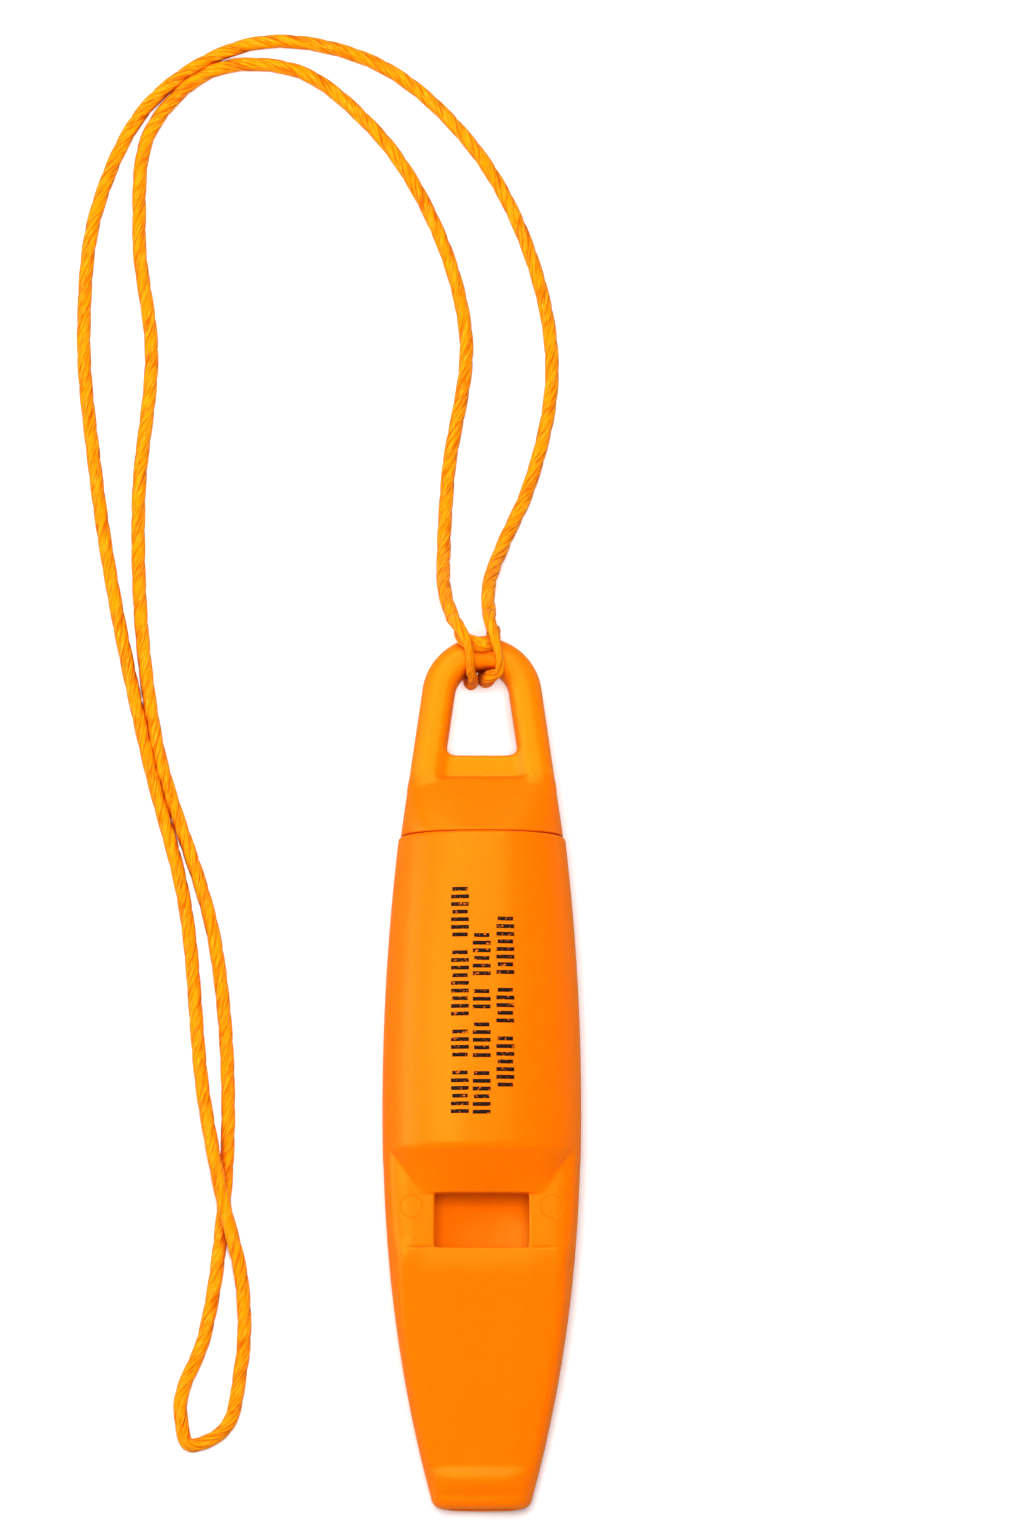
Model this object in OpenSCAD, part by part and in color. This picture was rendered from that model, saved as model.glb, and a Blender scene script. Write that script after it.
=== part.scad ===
// Survival whistle with a lanyard eye, on a closed loop of twisted cord.
// It lies on its back. +Y runs from the mouth to the eye, +X across, +Z out of the sound window.
// The origin is on the surface, under the middle of the whistle. All sizes are in millimetres.

/* [Lengths along the whistle] */
// Mouth end to the sill of the sound window
mouthpiece_len = 27.3; // [22:0.1:34]
// Sound window, from its sill to the lip of the ramp
window_len = 5.7; // [4.6:0.1:8]
// Ramp, from its lip up to the round barrel
ramp_len = 4.7; // [3.6:0.1:7]
// Barrel, from the top of the ramp to the seam of the end cap
barrel_len = 33.8; // [28:0.1:44]
// Shoulder of the end cap, from the seam to the feet of the eye
shoulder_len = 6.7; // [5:0.1:9]
// Eye, from its feet to its top
eye_len = 14.8; // [12.6:0.1:18]
// Widest place of the barrel, measured up from the top of the ramp
widest_up = 4.8; // [2:0.1:10]

/* [Widths across the whistle] */
// Barrel at its widest
body_w = 21; // [19:0.1:25]
// Mouth end
mouth_w = 10; // [9:0.1:13]
// Barrel at the seam of the end cap
seam_w = 17.6; // [16:0.1:18.8]
// Sound window
window_w = 10; // [7:0.1:11]
// Ramp at its lip
ramp_lip_w = 12.8; // [11.5:0.1:14]
// Windway at the mouth
windway_mouth_w = 7; // [5:0.1:7.5]

/* [Depths, front to back] */
// Whistle at its deepest, from the flat of the back to the crest of the barrel
body_depth = 14; // [12.5:0.1:17]
// Parting line above the flat of the back
parting_h = 7; // [6.4:0.1:7.8]
// Flats beside the window, above the flat of the back
cheek_h = 10.3; // [9.4:0.1:11]
// Mouth end
mouth_depth = 5; // [4.4:0.1:6]
// Underside of the mouth end above the flat of the back
mouth_lift = 1.9; // [1:0.1:2.6]
// How much the crest and the back of the barrel draw in at the seam
seam_drop = 1.1; // [0.4:0.1:2]
// How much the flat takes off the round of the back
back_flat = 0.35; // [0.2:0.05:0.6]
// Bar of the eye
eye_depth = 5.2; // [4.4:0.1:6.4]
// Web between the feet of the eye
web_depth = 3.6; // [2.4:0.1:4.2]

/* [Eye in plan] */
// Radius of the arch at the top of the eye, outside
eye_r = 6.4; // [5.8:0.1:7.2]
// Width of the bar that bends round the eye
eye_bar = 3.5; // [2.8:0.1:3.8]
// Web between the feet, from the shoulder to the hole
web_len = 2.3; // [1.6:0.1:3]

/* [Walls and clearances] */
// Wall of the barrel
wall = 1.6; // [1.2:0.1:2.2]
// Plate of the flats beside the window
cheek_t = 1.2; // [0.9:0.1:1.8]
// Lip of the ramp, over the window
lip_t = 0.7; // [0.5:0.1:1]
// Plate over the end of the windway
windway_roof = 0.9; // [0.7:0.1:1.4]
// Height of the windway
windway_h = 1.5; // [1:0.1:1.8]
// Plug of the end cap, inside the barrel
plug_len = 5; // [3:0.1:8]
// Wall of the hollow plug
plug_wall = 1.4; // [1:0.1:1.8]
// Gap around the plug
plug_gap = 0.1; // [0.05:0.05:0.2]
// Step in from the barrel to the end cap at the seam
seam_step = 0.15; // [0:0.05:0.3]

/* [Bite lip] */
// How far the bite lip stands out of the front and the back
bite_h = 0.5; // [0.3:0.1:0.9]
// Length of the bite lip along the whistle
bite_len = 2.8; // [2:0.1:3.4]
// Middle of the bite lip, from the mouth end
bite_at = 2.8; // [2.2:0.1:4]

/* [Lanyard] */
// Diameter of the cord
cord_d = 1.5; // [1:0.1:1.8]
// Gap between the hitch and the bar of the eye
hitch_gap = 0.1; // [0.05:0.05:0.3]

/* [Hidden] */

plastic = "#ff8c00";
cord_colour = "#ffa000";

// Stations along the whistle
total_len = mouthpiece_len + window_len + ramp_len + barrel_len + shoulder_len + eye_len;
y_mouth = -total_len / 2;
y_sill = y_mouth + mouthpiece_len;
y_lip = y_sill + window_len;
y_ring = y_lip + ramp_len;
y_seam = y_ring + barrel_len;
y_feet = y_seam + shoulder_len;
y_top = y_feet + eye_len;
y_widest = y_ring + widest_up;

// Powers of the plan curves and of the oval sections: 2 is an ellipse, more is squarer
mouth_curve = 2.2;
seam_curve = 2;
oval = 2.2;
bar_oval = 2.4;

// Fall of the front of the mouthpiece: level at the window, steeper to the mouth
front_curve = 1.25;
// Crown across the front of the mouthpiece, reached this far from the window
crown = 0.45;
crown_reach = 8;
// How sharply the flats turn into the round sides: more is sharper
cheek_sharp = 8;
mouth_sharp = 5;

// Points around a section and its rings
around = 48;
bar_around = 20;
ring_pitch = 3;
bite_rings = 8;
// Steps of the arch of the eye, in degrees
arch_step = 18;
// Plain length kept between a rounded end and the even rings
ring_gap = 1;
// Smallest step between two rings where a wall stands almost square to the axis
step_y = 0.05;
// Rounded edges: [distance from the end, how far the section draws in]
mouth_edge = [[0, 0.5], [0.15, 0.22], [0.5, 0]];
seam_edge = [[0.35, 0], [0.1, 0.1], [0, 0.3]];
feet_edge = [[0.3, 0], [0, 0.25]];
web_edge_r = 0.7;
// How far one solid runs into another where they join, and the feet of the eye into the shoulder
root = 0.6;
foot_root = 1;
// How far a solid that is cut away reaches past what it cuts
clear = 1;
// The core of the plug draws in by this much to its closed end
core_taper = 0.6;
// The bite lip and the lip of the ramp die away to the sides with these powers
bite_fade = 4;
lip_fade = 6;
// Rise of the lip of the ramp above the flats, in the middle
lip_rise = 0.25;
// The bar of the eye is deepest this far from its middle, towards the hole
bar_crest = 0.4;

mouth_top = mouth_lift + mouth_depth;
eye_y = y_top - eye_r;
bar_r = eye_r - eye_bar / 2;

function mix(a, b, k) = a + (b - a) * k;
function signed_pow(v, p) = sign(v) * pow(abs(v), p);

// 0 at the widest place, 1 at the mouth and 1 at the seam
function to_mouth(y) = max(0, (y_widest - y) / (y_widest - y_mouth));
function to_seam(y) = max(0, (y - y_widest) / (y_seam - y_widest));

function half_w(y) = body_w / 2
    - (body_w - mouth_w) / 2 * pow(to_mouth(y), mouth_curve)
    - (body_w - seam_w) / 2 * pow(to_seam(y), seam_curve);
function parting(y) = parting_h
    - (parting_h - mouth_lift - mouth_depth / 2) * pow(to_mouth(y), mouth_curve);
function bite(y) = bite_h * max(0, 1 - pow((y - y_mouth - bite_at) / (bite_len / 2), 2));
function up_of_oval(y) = y < y_widest
    ? (body_depth - parting_h) * half_w(y) / (body_w / 2)
    : body_depth - parting_h - seam_drop * pow(to_seam(y), seam_curve);
function down_of_oval(y) = parting(y) + back_flat
    - (mouth_lift + back_flat) * pow(to_mouth(y), mouth_curve)
    - (seam_drop + back_flat) * pow(to_seam(y), seam_curve);

// Level of the flats and of the front of the mouthpiece at distance x from the middle
function front(x, y) = y >= y_sill ? cheek_h
    : let (k = (y_sill - y) / mouthpiece_len, side = abs(x) / half_w(y))
      mix(cheek_h, mouth_top, pow(k, front_curve))
      - crown * min(1, (y_sill - y) / crown_reach) * side * side
      + bite(y) * (1 - pow(side, bite_fade));

// The lower of two heights, with the corner between them rounded
function lower_of(a, b, sharp) = a <= 0 ? 0 : pow(pow(a, -sharp) + pow(b, -sharp), -1 / sharp);

// Point of an oval section at angle a: half width w, up and down from its level
function oval_point(y, a, w, up, down, level, power) =
    [w * signed_pow(cos(a), 2 / power), y,
     level + (sin(a) >= 0 ? up : down) * signed_pow(sin(a), 2 / power)];

// Whole oval of the body, drawn in all round
function body_ring(y, in) = [for (i = [0:around - 1])
    oval_point(y, 360 * i / around, half_w(y) - in, up_of_oval(y) - in, down_of_oval(y) - in,
               parting(y), oval)];

// The same oval cut down to a lid that lies "in" below the front
function cut_ring(y, in, lid_in, sharp) = [for (p = body_ring(y, in))
    let (z = p[2] - parting(y), side = abs(p[0]) / half_w(y))
    z >= 0 ? [p[0], y, parting(y) + lower_of(z, front(p[0], y) - lid_in - parting(y), sharp)]
           : [p[0], y, p[2] - bite(y) * (1 - pow(side, bite_fade)) * min(1, -z)]];

// Solid through a row of rings of the same number of points
module loft(rings) {
    n = len(rings[0]);
    last = len(rings) - 1;
    skin = [for (i = [0:last - 1], j = [0:n - 1])
        let (a = i * n + j, b = i * n + (j + 1) % n)
        each [[a, b, b + n], [a, b + n, a + n]]];
    start = [for (j = [n - 1:-1:0]) j];
    end = [for (j = [0:n - 1]) last * n + j];
    polyhedron(points = [for (r = rings) each r], faces = concat([start], skin, [end]), convexity = 6);
}

// Values from a to b in even steps of about the ring pitch, both ends taken in
function steps(a, b) = let (n = ceil((b - a) / ring_pitch)) [for (i = [0:n]) mix(a, b, i / n)];

// Upper end of the ramp: the part of the barrel's ring above a base level
function ring_above(base, y, in) = let (ring = body_ring(y, in),
    first = [for (i = [1:around / 4]) if (ring[i][2] > base) i][0],
    low = ring[first - 1], high = ring[first],
    x = mix(low[0], high[0], (base - low[2]) / (high[2] - low[2])))
    concat([[x, y, base]], [for (i = [first:around / 2 - first]) ring[i]], [[-x, y, base]]);
// Lower end of the ramp: the same points drawn in to a low lip that ends half_lip out
function lip_of(far, y, base, half_lip, rise) = [for (p = far)
    let (side = p[0] / far[0][0]) [side * half_lip, y, base + rise * (1 - pow(side, lip_fade))]];
// Closes such a row of points below its base
function with_root(row, base) = let (last = row[len(row) - 1])
    concat(row, [[last[0], last[1], base - root], [row[0][0], row[0][1], base - root]]);
module ramp(base, y_low, y_high, half_lip, rise, in) {
    far = ring_above(base, y_high, in);
    loft([with_root(lip_of(far, y_low, base, half_lip, rise), base), with_root(far, base)]);
}

module body_outside() {
    bite_y = y_mouth + bite_at;
    loft(concat(
        [for (e = mouth_edge) cut_ring(y_mouth + e[0], e[1], e[1], mouth_sharp)],
        [for (i = [0:bite_rings]) cut_ring(bite_y + (i / bite_rings - 0.5) * bite_len, 0, 0, mouth_sharp)],
        [for (y = steps(bite_y + bite_len / 2 + ring_gap, y_sill - ring_gap)) cut_ring(y, 0, 0, mouth_sharp)],
        [for (y = [y_sill, y_lip, y_ring]) cut_ring(y, 0, 0, cheek_sharp)],
        [for (y = steps(y_ring + step_y, y_seam - seam_edge[0][0])) body_ring(y, 0)],
        [for (i = [1:2]) body_ring(y_seam - seam_edge[i][0], seam_edge[i][1])]));
    ramp(cheek_h, y_lip, y_ring + step_y, ramp_lip_w / 2, lip_rise, 0);
}

// Hollow of the barrel, up to the seam, with the room under the ramp
module chamber() {
    ceiling = cheek_h - cheek_t;
    loft(concat(
        [for (y = [y_sill, y_lip, y_ring]) cut_ring(y, wall, cheek_t, cheek_sharp)],
        [for (y = steps(y_ring + root, y_seam + root)) body_ring(y, wall)]));
    ramp(ceiling, y_lip - root, y_ring + root, window_w / 2, cheek_t - lip_t, wall);
}

// Slot that climbs from the mouth to the sill, so that the air meets the lip
module windway() {
    mouth_z = mouth_lift + mouth_depth / 2 + windway_h / 2;
    sill_z = cheek_h - windway_roof;
    rise = (sill_z - mouth_z) / mouthpiece_len;
    spread = (window_w - windway_mouth_w) / 2 / mouthpiece_len;
    loft([for (d = [-clear, mouthpiece_len + step_y])
        let (w = windway_mouth_w / 2 + spread * d, z = mouth_z + rise * d, y = y_mouth + d)
        [[w, y, z - windway_h], [w, y, z], [-w, y, z], [-w, y, z - windway_h]]]);
}

module whistle_body() {
    color(plastic) difference() {
        body_outside();
        chamber();
        windway();
        // Sound window
        translate([-window_w / 2, y_sill, parting_h])
            cube([window_w, window_len, body_depth]);
        // Flat of the back
        translate([-body_w, y_mouth - clear, -body_depth])
            cube([2 * body_w, total_len, body_depth]);
    }
}

// The sides of the end cap run from the seam, and touch the arch of the eye at this angle
cap_seam_w = seam_w / 2 - seam_step;
side_angle = atan2(y_seam - eye_y, cap_seam_w) + acos(eye_r / norm([cap_seam_w, y_seam - eye_y]));

function cap_half_w(y) = eye_r / cos(side_angle) - (y - eye_y) * tan(side_angle);

// Section of the shoulder at share k from the seam, an oval, to the feet, a flat with the sides of the bar
function shoulder_ring(y, k, in, up, down) = let (w = cap_half_w(y) - in,
    side_w = mix(w, eye_bar / 2 + bar_crest - in, k))
    [for (i = [0:around - 1])
        let (p = oval_point(y, 360 * i / around, side_w, up, down, parting_h, mix(oval, bar_oval, k)))
        [p[0] + sign(p[0]) * (w - side_w), p[1], p[2]]];

module shoulder() {
    up_seam = up_of_oval(y_seam) - seam_step;
    down_seam = down_of_oval(y_seam) - seam_step;
    foot = eye_depth / 2;
    rings = concat(
        [for (y = steps(y_seam, y_feet - feet_edge[0][0])) [y, 0]],
        [[y_feet, feet_edge[1][1]]]);
    loft([for (r = rings)
        let (y = r[0], in = r[1], k = (y - y_seam) / shoulder_len)
        shoulder_ring(y, k, in, mix(up_seam, foot, k) - in, mix(down_seam, foot, k) - in)]);
}

// Place beside the bar of the eye at angle t round its section, "grow" above its surface, as the distance
// out of the arch and the height
function bar_place(t, grow) =
    let (reach = eye_bar / 2 + grow + (cos(t) >= 0 ? bar_crest : -bar_crest))
    [reach * signed_pow(cos(t), 2 / bar_oval) - bar_crest,
     (eye_depth / 2 + grow) * signed_pow(sin(t), 2 / bar_oval)];
function bar_ring(x, y, a) = [for (i = [0:bar_around - 1])
    let (p = bar_place(360 * i / bar_around, 0))
    [x + p[0] * cos(a), y + p[0] * sin(a), parting_h + p[1]]];
function arch_rings(from, to) = let (n = 2 * ceil((to - from) / arch_step))
    [for (i = [0:n]) let (a = mix(from, to, i / n))
        bar_ring(bar_r * cos(a), eye_y + bar_r * sin(a), a)];

module eye() {
    // Feet of the bar, inside the shoulder
    foot_y = y_feet - foot_root;
    leg = (bar_r * sin(side_angle) + eye_y - foot_y) / cos(side_angle);
    foot_x = bar_r * cos(side_angle) + leg * sin(side_angle);
    loft(concat(
        [bar_ring(foot_x, foot_y, side_angle)],
        arch_rings(side_angle, 180 - side_angle),
        [bar_ring(-foot_x, foot_y, 180 - side_angle)]));
}

// Thin web between the feet, with rounded edges towards the hole
module web() {
    reach = cap_half_w(y_feet) - eye_bar / 2;
    h = web_depth / 2;
    translate([0, y_feet, parting_h]) rotate([90, 0, 90])
        linear_extrude(height = 2 * reach, center = true) {
            translate([-root, -h]) square([web_len + root - web_edge_r, web_depth]);
            translate([0, web_edge_r - h]) square([web_len, web_depth - 2 * web_edge_r]);
            for (side = [-1, 1])
                translate([web_len - web_edge_r, side * (h - web_edge_r)]) circle(r = web_edge_r, $fn = 24);
        }
}

// Hollow plug that closes the barrel
module plug() {
    gap = wall + plug_gap;
    core = gap + plug_wall;
    core_end = y_seam + shoulder_len / 3;
    difference() {
        union() {
            loft([for (y = steps(y_seam - plug_len, y_seam)) body_ring(y, gap)]);
            shoulder();
        }
        loft([for (r = [[y_seam - plug_len - clear, 0], [y_seam, 0], [core_end, core_taper]])
            [for (p = body_ring(min(r[0], y_seam), core + r[1])) [p[0], r[0], p[2]]]]);
    }
}

module end_cap() {
    color(plastic) union() {
        plug();
        eye();
        web();
    }
}

// Cow hitch. Each row is an angle round the bar of the eye, the distances of the left and the right leg
// from the middle, and the height above the bar. The angle is 0 outside the arch, 90 in front, 180 in
// the hole and 270 behind. Lengths are in cord diameters. The strands come in over the closed end.
left_strand = [[28, 2.05, 1.15], [45, 1.75, 1.15], [62, 1.45, 1.1], [79, 1.2, 1]];
right_strand = [[28, 0.55, 1.15], [45, 0.6, 1.15], [62, 0.75, 1.1], [79, 0.85, 1]];
legs = [
    [95, 1, 0.9, 0.6], [112, 0.95, 0.85, 0.2], [130, 0.85, 0.8, 0], [155, 0.8, 0.7, 0],
    [180, 0.75, 0.65, 0], [205, 0.75, 0.65, 0], [230, 0.8, 0.65, 0], [255, 0.9, 0.7, 0],
    [280, 1, 0.75, 0], [305, 1.1, 0.75, 0], [330, 1.2, 0.8, 0], [352, 1.3, 0.85, 0],
    [375, 1.35, 0.9, 0], [402, 1.3, 0.9, 0], [415, 1.15, 0.75, 0], [427, 0.8, 0.4, 0]];
closed_end = [431, 0.2, 0];

function hitch_point(row, side) =
    let (p = bar_place(row[0], cord_d / 2 + hitch_gap + row[2] * cord_d), x = side * row[1] * cord_d)
    [x, eye_y + sqrt(pow(bar_r + p[0], 2) - x * x), parting_h + p[1]];
hitch_line = concat(
    [for (r = right_strand) hitch_point(r, 1)],
    [for (r = legs) hitch_point([r[0], r[2], r[3]], 1)],
    [hitch_point(closed_end, -1)],
    [for (i = [len(legs) - 1:-1:0]) let (r = legs[i]) hitch_point([r[0], r[1], r[3]], -1)],
    [for (i = [len(left_strand) - 1:-1:0]) hitch_point(left_strand[i], -1)]);

// Route of the cord, from the left strand of the hitch round the loop to the right one
on_floor = cord_d / 2;
// Where two strands cross, the upper one lies this many cord diameters above the lower one
cross_rise = 1.1;
over = on_floor + cross_rise * cord_d;
route = concat([hitch_line[len(hitch_line) - 1]], [
    [-3.8, 50.6, 8.1], [-4.1, 57.6, 2.2],
    [-3.7, 65, on_floor], [-1.8, 81, on_floor], [-5.2, 93, on_floor], [-12, 103.6, on_floor],
    [-20.5, 109.9, on_floor], [-29, 109.8, on_floor], [-35.6, 103.5, on_floor],
    [-37, 92, on_floor], [-35.6, 79, on_floor], [-36.9, 63, on_floor],
    [-35, 37, on_floor], [-28.4, 14, on_floor], [-27.1, 0, on_floor],
    [-27.6, -15, on_floor], [-29.6, -28, on_floor], [-32, -35.4, on_floor],
    [-31, -39.2, on_floor], [-27.8, -38, on_floor], [-25.6, -31, on_floor],
    [-25.5, -22, on_floor + 0.5], [-27.6, -13, over], [-29.5, -3, on_floor + 0.4],
    [-32, 20, on_floor], [-35.6, 34, on_floor], [-41.6, 66, on_floor],
    [-42.9, 81, on_floor], [-41.4, 95, on_floor], [-35.5, 106.6, on_floor],
    [-24.5, 112.8, on_floor], [-12, 110.8, on_floor], [-1.5, 102, on_floor], [5, 90, on_floor],
    [7.5, 77, on_floor], [4.8, 63.5, on_floor], [2.3, 57.6, 2.3], [0.65, 51, 8.3]],
    [hitch_line[0]]);
cord_sides = 8;
rings_per_span = 2;

// Direction of the route at its point i, weighted by the spans on both sides
function heading(p, i) = i == 0 ? (p[1] - p[0]) / norm(p[1] - p[0])
    : i == len(p) - 1 ? (p[i] - p[i - 1]) / norm(p[i] - p[i - 1])
    : let (before = p[i] - p[i - 1], after = p[i + 1] - p[i], b = norm(before), a = norm(after))
      (before * a / b + after * b / a) / (a + b);
// Point of a smooth curve through the route, at share t of span i, kept off the surface
function along(p, i, t) = let (span = norm(p[i + 1] - p[i]), t2 = t * t, t3 = t2 * t,
    point = (2 * t3 - 3 * t2 + 1) * p[i] + (t3 - 2 * t2 + t) * span * heading(p, i)
        + (3 * t2 - 2 * t3) * p[i + 1] + (t3 - t2) * span * heading(p, i + 1))
    [point[0], point[1], max(point[2], on_floor)];

// The whole closed loop: first the route, then the hitch back to its start
spans = len(route) - 1;
route_rings = spans * rings_per_span;
loop_line = concat(
    [for (i = [0:spans - 1], j = [0:rings_per_span - 1]) along(route, i, j / rings_per_span)],
    [for (i = [0:len(hitch_line) - 2]) hitch_line[i]]);

function loop_ahead(i) = let (n = len(loop_line), run = loop_line[(i + 1) % n] - loop_line[(i + n - 1) % n])
    run / norm(run);
// Side vectors of the loop from point i to its end, each carried on from the one before without twist
function sides(i, before) = i > len(loop_line) ? []
    : let (ahead = loop_ahead(i % len(loop_line)), side = before - (before * ahead) * ahead,
           unit = side / norm(side))
      concat([unit], sides(i + 1, unit));
loop_sides = sides(0, [1, 0, 0]);

// Cord from one point of the loop to another
module tube(from, to) {
    loft([for (i = [from:to])
        let (j = i % len(loop_line), side = loop_sides[i], top = cross(side, loop_ahead(j)))
        [for (k = [0:cord_sides - 1])
            let (a = 360 * (k + 0.5) / cord_sides)
            loop_line[j] + cord_d / 2 * (cos(a) * side + sin(a) * top)]]);
}

module lanyard_hitch() {
    color(cord_colour) tube(route_rings, len(loop_line));
}

module lanyard_cord() {
    color(cord_colour) tube(0, route_rings);
}

whistle_body();
end_cap();
lanyard_hitch();
lanyard_cord();
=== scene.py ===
"""Finish of a survival whistle: fine skins of its two mouldings, its twisted cord, hitch, print and stage."""

import math

import bpy
import numpy as np
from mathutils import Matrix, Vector


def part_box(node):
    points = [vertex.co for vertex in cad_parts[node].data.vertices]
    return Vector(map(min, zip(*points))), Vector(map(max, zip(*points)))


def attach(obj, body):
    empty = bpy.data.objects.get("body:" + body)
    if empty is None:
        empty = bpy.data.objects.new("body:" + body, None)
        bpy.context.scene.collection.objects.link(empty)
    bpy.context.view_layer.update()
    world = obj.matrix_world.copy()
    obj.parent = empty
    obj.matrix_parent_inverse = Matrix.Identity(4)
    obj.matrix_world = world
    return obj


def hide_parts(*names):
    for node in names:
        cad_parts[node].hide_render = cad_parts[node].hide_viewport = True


bl_info = {
    "name": "Survival whistle finish",
    "version": (1, 0, 0),
    "blender": (4, 5, 0),
    "location": "View3D > Sidebar > Whistle",
    "description": "Builds the visible surfaces of a survival whistle on its cord",
    "category": "Object",
}

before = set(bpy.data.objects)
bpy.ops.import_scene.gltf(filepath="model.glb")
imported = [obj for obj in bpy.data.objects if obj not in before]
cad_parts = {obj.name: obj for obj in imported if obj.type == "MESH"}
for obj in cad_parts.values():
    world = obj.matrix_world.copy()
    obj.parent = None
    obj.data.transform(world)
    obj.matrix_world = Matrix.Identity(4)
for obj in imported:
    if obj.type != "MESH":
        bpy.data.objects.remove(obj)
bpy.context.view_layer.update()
MM = 0.001

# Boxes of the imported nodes, in millimetres
BODY_LOW, BODY_HIGH = (np.array(corner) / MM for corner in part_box("whistle_body"))
CAP_LOW, CAP_HIGH = (np.array(corner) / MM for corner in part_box("end_cap"))

Y_MOUTH = BODY_LOW[1]
Y_SEAM = BODY_HIGH[1]
Y_TOP = CAP_HIGH[1]


def size(name, description, value):
    """A length property whose default is given in millimetres."""
    return bpy.props.FloatProperty(
        name=name, description=description, default=value * MM, min=0.0, unit="LENGTH", precision=5
    )


def colour(name, description, code):
    """A colour property whose default is given as an sRGB hex value."""
    return bpy.props.FloatVectorProperty(
        name=name, description=description, default=linear(code), size=4, min=0.0, max=1.0, subtype="COLOR"
    )


def linear(code):
    """sRGB hex value as linear red, green, blue and alpha."""
    parts = [int(code[i : i + 2], 16) / 255 for i in (1, 3, 5)]
    return [c / 12.92 if c <= 0.04045 else ((c + 0.055) / 1.055) ** 2.4 for c in parts] + [1.0]


class MouldingSizes(bpy.types.PropertyGroup):
    """Sizes of the body and the end cap."""

    mouthpiece_len: size("Mouthpiece length", "Mouth end to the sill of the window", 27.3)
    window_len: size("Window length", "Sill of the window to the lip of the ramp", 5.7)
    ramp_len: size("Ramp length", "Lip of the ramp to the round barrel", 4.7)
    shoulder_len: size("Shoulder length", "Seam to the feet of the eye", 6.15)
    widest_up: size("Widest place", "Top of the ramp to the widest place", 4.8)
    mouth_w: size("Mouth width", "Width of the mouth end", 10.0)
    seam_w: size("Seam width", "Width of the barrel at the seam", 17.6)
    window_w: size("Window width", "Width of the sound window", 10.0)
    ramp_lip_w: size("Ramp lip width", "Width of the ramp at its lip", 12.8)
    windway_mouth_w: size("Windway width", "Width of the windway at the mouth", 7.0)
    parting_h: size("Parting line", "Height of the parting line", 7.0)
    cheek_h: size("Flats", "Height of the flats beside the window", 10.3)
    mouth_depth: size("Mouth depth", "Depth of the mouth end", 5.0)
    mouth_lift: size("Mouth lift", "Height of the underside of the mouth", 1.9)
    seam_drop: size("Seam drop", "Draw of crest and back at the seam", 1.1)
    back_flat: size("Back flat", "Depth that the flat takes off the back", 0.35)
    wall: size("Wall", "Wall of the barrel", 1.6)
    cheek_t: size("Plate", "Plate beside the window", 1.2)
    lip_t: size("Lip", "Lip of the ramp", 0.7)
    windway_roof: size("Windway roof", "Plate over the end of the windway", 0.9)
    windway_h: size("Windway height", "Height of the windway", 1.5)
    bite_h: size("Bite lip", "How far the bite lip stands out", 0.5)
    eye_depth: size("Eye depth", "Depth of the bar of the eye", 5.2)
    eye_r: size("Eye radius", "Outer radius of the arch of the eye", 6.4)
    eye_bar: size("Eye bar", "Width of the bar of the eye", 3.5)
    web_len: size("Web length", "Web between the feet of the eye, at its middle", 2.5)
    web_depth: size("Web depth", "Depth of that web", 3.6)
    crease: size("Crease", "Depth of the crease at the sill", 0.12)


class LanyardSizes(bpy.types.PropertyGroup):
    """Sizes of the cord."""

    cord_d: size("Cord diameter", "Diameter of the cord", 1.5)
    lay: size("Lay", "Length of one turn of the plies", 10.0)
    plies: bpy.props.IntProperty(name="Plies", description="Plies in the cord", default=3, min=2, max=5)


class Finishes(bpy.types.PropertyGroup):
    """Colours of the finishes."""

    plastic: colour("Plastic", "Moulded plastic", "#FF7400")
    # Painted glow: this paler tone on the eye stands in for light that gets through the thin plastic
    thin: colour("Thin plastic", "Moulded plastic where it is thin, at the eye", "#FF8102")
    # Painted shade: this red goes into narrow corners, where other faces stand close
    painted_nook_shade: colour("Nook", "Moulded plastic in its narrow corners", "#C42C00")
    gloss: colour("Gloss", "Tint of the highlights", "#FFB838")
    cord: colour("Cord", "Twisted cord, on top of its yarns", "#FF9200")
    cord_bright: colour("Cord bright", "Single fibres on the cord", "#FFB020")
    # Painted shade: this darker tone goes in the gaps between the yarns
    cord_shade: colour("Cord shade", "Twisted cord, between its yarns", "#D05A00")
    # Painted shade: this deep red goes where strands of the cord lie close
    cord_nook_painted_shade: colour("Cord nook", "Twisted cord where strands lie close", "#B82400")
    ink: colour("Ink", "Printed marks", "#180C06")
    floor: colour("Floor", "Floor of the stage, as the camera sees it", "#FCFCFC")
    bounce: colour("Bounce", "Floor of the stage, as it lights the whistle", "#D8D8D8")
    mirrored: colour("Mirrored", "Floor of the stage, as the highlights show it", "#D09048")


# Surfaces by numbers


def smooth_min(a, b, r):
    """The lower of a and b, with a round of about r where they meet."""
    h = np.maximum(r - np.abs(a - b), 0) / r
    return np.minimum(a, b) - h * h * r / 4


def smooth_max(a, b, r):
    """The higher of a and b, with a round of about r where they meet."""
    return -smooth_min(-a, -b, r)


def mix(a, b, k):
    """The value a share k of the way from a to b."""
    return a + (b - a) * k


def soft_step(k):
    """Cubic step 3 k² - 2 k³, which rises from 0 to 1 and is level at both ends."""
    k = np.clip(k, 0, 1)
    return k * k * (3 - 2 * k)


def oval(x, z, w, up, down, power):
    """Distance-like field of an oval: the power mean of x / w and z / height, less 1, times the height."""
    h = np.where(z >= 0, up, down)
    mean = (np.abs(x) / w) ** power + (np.abs(z) / h) ** power
    return (np.maximum(mean, 1e-9) ** (1 / power) - 1) * h


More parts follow.
